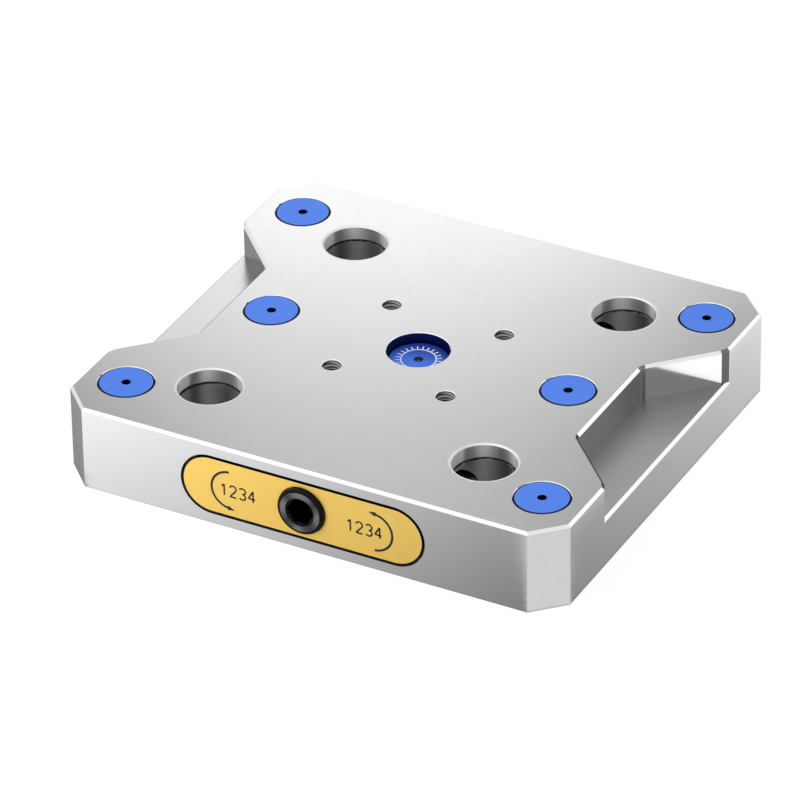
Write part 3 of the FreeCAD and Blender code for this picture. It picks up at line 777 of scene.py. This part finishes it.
def turned_metal(name, plain, wear_and_shade, roughness, pitch, depth,
                 place=(0, 0, 0), level=False, zones=()):
    """Turned metal with feed marks about an axis through place, upright or, if level is set,
    along Y. Faces between level and upright, which are an upright piece's chamfers, get a second
    colour: rubbed lighter as real wear on the zinc screw and the bronze bush, nearly the same black
    on the drive screw, and painted dark shade on the hardened pieces. Zones are as with_zones says."""
    material, tree, shader, spot, normal = new_material(name)
    inputs = {"Vector": spot, "Location": tuple(-v for v in place)}
    centred = add(tree, "Mapping", inputs).outputs[0]
    if level:
        inputs = {"Vector": centred, "Angle": math.pi / 2}
        centred = add(tree, "VectorRotate", inputs, rotation_type="X_AXIS").outputs[0]
    line = use(tree, TURNED, {"Vector": centred, "Pitch": pitch})["Line"]
    marks = use(tree, HANDLING, {"Vector": spot, "Size": 0.012})["Mark"]
    tone = maths(tree, "MULTIPLY_ADD", line, 0.16, 0.92)
    tone = maths(tree, "MULTIPLY_ADD", marks, -0.08, tone)
    grain_share = 0.05
    colour, rough = with_zones(tree, spot, normal, zones, toned(tree, plain, tone),
                               roughness - grain_share, grain_share)
    # Chamfers take the second colour, which is real wear on some pieces and painted dark shade on
    # the hardened ones.
    cut = use(tree, EDGES, {"Normal": normal, "From": 0.3, "To": 0.9})["Edge"]
    patchy = product(tree, cut, maths(tree, "MULTIPLY_ADD", marks, -0.3, 1.0))
    tree.links.new(blend(tree, patchy, colour, wear_and_shade), shader["Base Color"])
    shader["Metallic"].default_value = 1.0
    rough = maths(tree, "MULTIPLY_ADD", line, 2 * grain_share, rough)
    tree.links.new(maths(tree, "MULTIPLY_ADD", marks, 0.05, rough), shader["Roughness"])
    relief(tree, shader, line, depth)
    return material


def anodised(name, plain, deep, side, shown, roughness, metallic, painted_sunk_shade=None):
    """Anodised aluminium: fine blasted grain, slight unevenness of the dye and rare hairlines.
    Faces that look away from the shown direction get the side colour, a painted dark shade of the
    gaps and holes they stand in. Tops below a height just above the centre plug's top get painted
    shade of the bore they lie in, which goes from one colour at the front to another at the rear."""
    material, tree, shader, spot, normal = new_material(name)
    grain = use(tree, BLAST, {"Vector": spot})["Grain"]
    cloud = use(tree, HANDLING, {"Vector": spot, "Size": 0.016})["Mark"]
    inputs = {"Vector": spot, "Spacing": 0.003, "Share": 0.42}
    scratch = use(tree, SCRATCH, inputs)["Scratch"]
    dye = maths(tree, "MULTIPLY", grain, 0.3)
    dye = maths(tree, "MULTIPLY_ADD", cloud, 0.22, dye, clamp=True)
    colour = blend(tree, dye, plain, deep)
    # Painted shade on tops lying in a bore: the centre plug and the floors of the pull holes.
    if painted_sunk_shade is not None:
        _, y, z = parts_of(tree, spot)
        shaded = blend(tree, remap(tree, y, -5 * MM, 8 * MM), *painted_sunk_shade)
        colour = blend(tree, under(tree, z, SUNK_TOP), colour, shaded)
    # Painted dark shade on the faces that turn away: the sides in the gaps and the walls of holes.
    inputs = {"Normal": normal, "Direction": shown, "Limit": 0.9}
    away = use(tree, AWAY, inputs)["Away"]
    tree.links.new(blend(tree, away, colour, side), shader["Base Color"])
    shader["Metallic"].default_value = metallic
    rough = maths(tree, "MULTIPLY_ADD", grain, 0.12, roughness - 0.06)
    tree.links.new(maths(tree, "MULTIPLY_ADD", scratch, 0.12, rough), shader["Roughness"])
    relief(tree, shader, maths(tree, "MULTIPLY_ADD", scratch, -0.6, grain), 0.004 * MM)
    return material


def dull_rubber(name, plain, dusty, roughness):
    """Black rubber or foam: blasted grain with a thin veil of dust."""
    material, tree, shader, spot, _ = new_material(name)
    grain = use(tree, BLAST, {"Vector": spot, "Grain Size": 0.4 * MM})["Grain"]
    dust = use(tree, HANDLING, {"Vector": spot, "Size": 6 * MM})["Mark"]
    veil = maths(tree, "MULTIPLY", dust, 0.5)
    tree.links.new(blend(tree, veil, plain, dusty), shader["Base Color"])
    rough = maths(tree, "MULTIPLY_ADD", grain, 0.2, roughness - 0.1)
    tree.links.new(rough, shader["Roughness"])
    relief(tree, shader, grain, 0.02 * MM)
    return material


def printed_ink(name, plain, thin, roughness):
    """Pad-printed ink with slightly uneven cover."""
    material, tree, shader, spot, _ = new_material(name)
    cover = use(tree, BLAST, {"Vector": spot, "Grain Size": 0.2 * MM})["Grain"]
    colour = blend(tree, maths(tree, "MULTIPLY", cover, 0.4), plain, thin)
    tree.links.new(colour, shader["Base Color"])
    tree.links.new(maths(tree, "MULTIPLY_ADD", cover, 0.15, roughness), shader["Roughness"])
    relief(tree, shader, cover, 0.003 * MM)
    return material


# Studio

def from_corner(u, v, side):
    """Distances in millimetres out from the plate's front corner on the side of plus or minus
    X, and across that way, towards the rear."""
    cut = CORNER_CUT / MM
    du = u - side * (HALF_LENGTH / MM - cut / 2)
    dv = v + HALF_DEPTH / MM - cut / 2
    a, b = CORNER_WAY
    return side * (a * du - b * dv), b * du + a * dv


def floor_glow(x, y):
    """Tone of the floor at points x, y, in metres: painted shade and light that only gloss sees.

    In front of the plate it falls with x, faster towards the right, and rises away from the
    plate, both as powers of e. At the plate's right it rises with y, and further out it is
    white. A paler wedge leaves the front right corner. The left side is dark, and the rear is
    grey. Far out all of it goes to an even pale grey, and under the plate it is nearly
    black."""
    u, v = x / MM, y / MM
    half_u, half_v, cut = HALF_LENGTH / MM, HALF_DEPTH / MM, CORNER_CUT / MM
    front = np.exp(-0.615 - 0.0070 * u - 0.0000245 * (u + 21) ** 2 - 0.0034 * (v + half_v + 3))
    right = 0.42 * np.exp(0.0056 * v)
    out, across = from_corner(u, v, 1)
    beside = np.where(across < 0, front, right)
    wedge = smooth_step(out - np.clip(0.3 * across, -2, 2), -0.2, 0.6)
    wedge = wedge * smooth_step(across + 120, 0, 60) * smooth_step(60 - across, 0, 40)
    glow = mixed(beside, WEDGE_TONE, wedge)
    far_right = smooth_step(u, 108, 112) * smooth_step(v, -60, -10)
    glow = mixed(glow, RIGHT_FAR_TONE, far_right)
    rear = smooth_step(v, half_v - 5, half_v + 35) * smooth_step(-u, -half_u - 20, -half_u)
    glow = mixed(glow, mixed(*REAR_TONES, smooth_step(u, -100, 100)), rear)
    out, across = from_corner(u, v, -1)
    left = smooth_step(across, -12, -2) * smooth_step(out, -7.5, -6.3) * smooth_step(-u, 74, 78)
    glow = mixed(glow, mixed(*LEFT_TONES, smooth_step(v, 70, 120)), left)
    glow = mixed(glow, FAR_TONE, smooth_step(np.hypot(u, v), 170, 420))
    past_sides = np.maximum(np.abs(u) - half_u, np.abs(v) - half_v)
    past_corners = (np.abs(u) + np.abs(v) - half_u - half_v + cut) / math.sqrt(2)
    beyond = smooth_step(np.maximum(past_sides, past_corners), -2, 0.3)
    return glow * mixed(UNDER_TONE, 1, beyond)


def card_glow(x, z):
    """Tone of the card behind the plate, for the clamping face. The camera's ray that meets the
    face at u, v is thrown back with the slope of its own direction onto the card, and the light
    there falls from the rear left to the front right of the face."""
    way = (z - PLATE_TOP) / -CAMERA_FORWARD[2]
    u = (x - CAMERA_FORWARD[0] * way) / HALF_LENGTH
    v = (CARD_DISTANCE - CAMERA_FORWARD[1] * way) / HALF_DEPTH
    u, v = np.clip(u, -1.6, 1.6), np.clip(v, -1.6, 1.6)
    seen = 0.684 - 0.154 * u + 0.183 * v - 0.09 * u * u - 0.134 * u * v
    return np.clip(seen / STEEL_LEVEL, 0.3, 1.2)


def glow_sheet(name, across, up, place, glow):
    """Grid of quads over two rows of values. Place turns the values into points, and glow gives
    the tone kept in the mesh at each point."""
    a, b = np.meshgrid(across, up, indexing="ij")
    points = place(a.ravel(), b.ravel())
    i, j = np.meshgrid(np.arange(len(across) - 1), np.arange(len(up) - 1), indexing="ij")
    start = (i * len(up) + j).ravel()
    faces = np.stack([start, start + len(up), start + len(up) + 1, start + 1], 1).tolist()
    piece = make_piece(name, points, faces)
    layer = piece.data.attributes.new("glow", "FLOAT", "POINT")
    layer.data.foreach_set("value", glow(a.ravel(), b.ravel()).astype(np.float32))
    return piece


def fine_steps():
    """Row of values: close together near the plate, then further and further apart."""
    near = np.arange(0, FLOOR_FINE_REACH + FLOOR_FINE_STEP / 2, FLOOR_FINE_STEP)
    far = np.geomspace(FLOOR_FINE_REACH, FLOOR_REACH, 24)[1:]
    half = np.concatenate([near, far])
    return np.concatenate([-half[:0:-1], half])


def stage_material(name, camera_white):
    """Surface of the studio. Gloss sees the tone kept in the mesh, the camera sees nearly white
    with a share of real shade, and other light meets a dull pale surface."""
    material = bpy.data.materials.new(name)
    material.use_nodes = True
    tree = material.node_tree
    tree.nodes.remove(tree.nodes["Principled BSDF"])
    rays = tree.nodes.new("ShaderNodeLightPath").outputs
    kept = add(tree, "Attribute", attribute_name="glow").outputs["Fac"]
    lit = add(tree, "Emission", {"Color": (1, 1, 1, 1), "Strength": camera_white}).outputs[0]
    shade = add(tree, "BsdfDiffuse", {"Color": grey(1.02 - camera_white)}).outputs[0]
    paper = add(tree, "AddShader", {0: lit, 1: shade}).outputs[0]
    dull = add(tree, "BsdfDiffuse", {"Color": grey(STAGE_ALBEDO)}).outputs[0]
    mirrored = add(tree, "Emission", {"Color": (1, 1, 1, 1), "Strength": kept}).outputs[0]
    shown = add(tree, "MixShader", {0: rays["Is Camera Ray"], 1: dull, 2: paper}).outputs[0]
    gloss = maths(tree, "MAXIMUM", rays["Is Glossy Ray"], rays["Is Transmission Ray"])
    surface = add(tree, "MixShader", {0: gloss, 1: shown, 2: mirrored}).outputs[0]
    tree.links.new(surface, tree.nodes["Material Output"].inputs["Surface"])
    return material


def flag(name, corners, tone):
    """Dark upright sheet between two opposite corners, seen by gloss alone."""
    x0, x1, y0, y1, z0, z1 = corners

    def place(a, b):
        return np.stack([x0 + (x1 - x0) * a, y0 + (y1 - y0) * a, z0 + (z1 - z0) * b], 1)
    ends = np.array([0.0, 1.0])
    return glow_sheet(name, ends, ends, place, lambda a, b: np.full(len(a), tone))


def put_sheets():
    """The floor, and round it the sheets that only gloss can see: the card behind and the dark
    flags beside."""
    steps = fine_steps()
    floor = glow_sheet("floor", steps, steps, lambda a, b: np.stack([a, b, 0 * a], 1), floor_glow)
    floor.data.materials.append(stage_material("studio_floor", FLOOR_CAMERA_WHITE))

    def behind(a, b):
        return np.stack([a, 0 * a + CARD_DISTANCE, b], 1)
    card = glow_sheet("rear_card", np.linspace(*CARD_ACROSS), np.linspace(*CARD_UP), behind,
                      card_glow)
    flags = [flag(name, corners, tone) for name, (corners, tone) in FLAGS.items()]
    paper = stage_material("studio_card", 1.0)
    for sheet in (card, *flags):
        sheet.data.materials.append(paper)
        for ray in ("camera", "diffuse", "shadow", "transmission", "volume_scatter"):
            setattr(sheet, "visible_" + ray, False)


def put_sky():
    """Sky that the camera sees as white. Gloss sees it pale, with a darker rim low down, a
    darker patch overhead and another high at the right, and other light finds it dim."""
    world = bpy.data.worlds.new("studio_sky")
    world.use_nodes = True
    bpy.context.scene.world = world
    tree = world.node_tree
    rays = tree.nodes.new("ShaderNodeLightPath").outputs
    x, _, z = parts_of(tree, tree.nodes.new("ShaderNodeTexCoord").outputs["Generated"])
    pale = remap(tree, z, 0.30, 0.38, *SKY_LOW_TONES)
    pale = product(tree, pale, remap(tree, z, 0.84, 0.95, 1.0, SKY_OVERHEAD_SHARE))
    high_right = product(tree, remap(tree, z, 0.60, 0.70), remap(tree, x, 0.15, 0.5))
    tone = between(tree, high_right, pale, SKY_HIGH_RIGHT_TONE)
    plain = between(tree, rays["Is Camera Ray"], SKY_DIFFUSE, 1.0)
    gloss = maths(tree, "MAXIMUM", rays["Is Glossy Ray"], rays["Is Transmission Ray"])
    background = tree.nodes["Background"].inputs
    background["Color"].default_value = (1, 1, 1, 1)
    tree.links.new(between(tree, gloss, plain, tone), background["Strength"])


def put_lamps():
    """Two soft square lamps that look at the middle of the plate's top and don't show in
    gloss."""
    target = Vector((0, 0, PLATE_TOP))
    for name, lamp in LAMPS.items():
        data = bpy.data.lights.new(name, "AREA")
        data.energy = lamp["power"]
        data.size = lamp["size"]
        piece = bpy.data.objects.new(name, data)
        piece.location = lamp["place"]
        way = target - Vector(lamp["place"])
        piece.rotation_euler = way.to_track_quat("-Z", "Y").to_euler()
        piece.visible_glossy = False
        bpy.context.scene.collection.objects.link(piece)


# Zones of the plate, each over those before it: a mask, a colour and a roughness. Many of them
# paint light and shade: painted reflection streaks and lighter rims in the receiver bores,
# painted shade in the tapped holes and the centre bore, and painted greys on the notches' walls,
# ledges and chamfers. In the notches low and high choose walls and chamfers by the Y of their
# normals.
PLATE_ZONES = (
    (in_holes(RECEIVER_HOLES), grey(0.70, 0.01), 0.52),
    # Painted reflections: lighter upright streaks in the receiver bores.
    (painted_streaks_inside, grey(1.0), 0.80),
    # Lighter rims of the receiver bores: a painted highlight ring on their chamfers.
    (in_holes(RECEIVER_RIMS, "Rim"), grey(0.98), 0.45),
    # Painted shade: darker walls in the tapped holes, and a dark navy wall in the centre bore.
    (in_holes(TAPPED_HOLES), grey(0.34, 0.01), 0.42),
    (in_holes(CENTRE_HOLE), (0.02, 0.03, 0.12, 1), 0.35),
    # Painted shade and light on the notches: walls, ledges and chamfers of the one steel get their
    # own greys, darker at the right with dark chamfer lines, and at the left a lighter ledge and a
    # dark chamfer line.
    (in_notch(1.0, "Wall"), grey(0.62, 0.01), 0.17),
    (in_notch(1.0, "Wall", low=-0.05, high=0.05), grey(0.42, 0.005), 0.17),
    (in_notch(1.0, "Wall", low=-0.65, high=-0.05), grey(0.36, 0.005), 0.17),
    (in_notch(1.0, "Wall", low=-0.80, high=-0.65), grey(0.80), 0.10),
    (in_notch(1.0, "Wall", low=-0.65, high=-0.05, back=NOTCH_FLARE), grey(0.11), 0.20),
    (in_notch(1.0, "Floor"), grey(0.50, 0.005), 0.36),
    (in_notch(1.0, "Edge", low=0.05), grey(0.05), 0.40),
    (in_notch(1.0, "Edge", low=-0.44, high=-0.05), grey(0.30), 0.40),
    (in_notch(-1.0, "Wall"), grey(0.78, 0.01), 0.17),
    (in_notch(-1.0, "Floor"), grey(0.92), 0.30),
    (in_notch(-1.0, "Edge", low=-0.05, high=0.05), grey(0.03), 0.40),
)
SCREW_ZONES = (
    # Drive screw's end face, lighter than the black body, with four painted glints.
    (end_face("Face"), (0.075, 0.077, 0.082, 1), 0.40),
    (end_face("Painted Glint"), (0.26, 0.265, 0.275, 1), 0.40),
)
FINISHES = {
    "ground_steel": bright_steel(
        "ground_steel_finish", grey(STEEL_LEVEL, 0.005), edge=grey(0.98), roughness=0.17,
        pitch=0.22 * MM, length=12 * MM, depth=0.0012 * MM, zones=PLATE_ZONES),
    "cover_steel": bright_steel(
        "milled_cover_finish", grey(0.70, 0.01), edge=grey(0.9), roughness=0.28,
        pitch=0.6 * MM, length=30 * MM, depth=0.004 * MM, mark=0.10),
    "screw_steel": turned_metal(
        "zinc_screw_finish", (0.66, 0.68, 0.72, 1), wear_and_shade=grey(0.8, 0.02), roughness=0.30,
        pitch=0.25 * MM, depth=0.003 * MM),
    # Hardened pieces: the black second colour of their chamfers paints a dark line of shade.
    "hard_steel": turned_metal(
        "hardened_finish", grey(0.55, 0.005), wear_and_shade=grey(0.02), roughness=0.40,
        # Painted reflections: lighter upright streaks inside the hardened bushes.
        pitch=0.18 * MM, depth=0.002 * MM, zones=((painted_streaks_inside, grey(0.9), 0.48),)),
    "black_steel": turned_metal(
        "black_oxide_finish", grey(0.014, 0.001), wear_and_shade=grey(0.012, 0.001), roughness=0.32,
        pitch=0.2 * MM, depth=0.004 * MM, place=(0, 0, SCREW_HEIGHT), level=True,
        zones=SCREW_ZONES),
    "bush_bronze": turned_metal(
        "bronze_finish", (0.62, 0.42, 0.20, 1), wear_and_shade=(0.8, 0.6, 0.3, 1), roughness=0.28,
        pitch=0.2 * MM, depth=0.003 * MM),
    # Side colours: painted dark shade of the gaps round the front plate and the caps.
    "gold_plate": anodised(
        "gold_anodised_finish", linear(255, 216, 110), deep=linear(254, 209, 105),
        side=(0.006, 0.005, 0.003, 1), shown=(0, 1, 0), roughness=0.40, metallic=0.60),
    "blue_cap": anodised(
        "blue_anodised_finish", linear(80, 134, 240), deep=linear(70, 122, 232),
        side=(0.002, 0.003, 0.014, 1), shown=(0, 0, 1), roughness=0.42, metallic=0.40,
        painted_sunk_shade=(linear(66, 120, 232), linear(36, 72, 168))),
    "black_pad": dull_rubber("bonding_pad_finish", grey(0.010, 0.002), grey(0.05), 0.75),
    "seal_rubber": dull_rubber("seal_rubber_finish", grey(0.008, 0.003), grey(0.03), 0.55),
}
DARK_INK = printed_ink("dark_ink", linear(10, 16, 34), linear(24, 30, 46), 0.45)
WHITE_INK = printed_ink("white_ink", linear(236, 238, 252), linear(220, 224, 244), 0.45)

for node in NODES.values():
    for place in node.material_slots:
        place.material = FINISHES[place.material.name.split(".")[0]]

marks = front_marks()
marks.data.materials.append(DARK_INK)
dial = plug_dial()
dial.data.materials.append(WHITE_INK)
threads = tapped_threads()
threads.data.materials.append(FINISHES["ground_steel"])
for piece in (marks, dial, threads):
    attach(piece, "plate")

put_sheets()
put_sky()
put_lamps()
put_camera()
bpy.context.scene.view_settings.view_transform = "Standard"
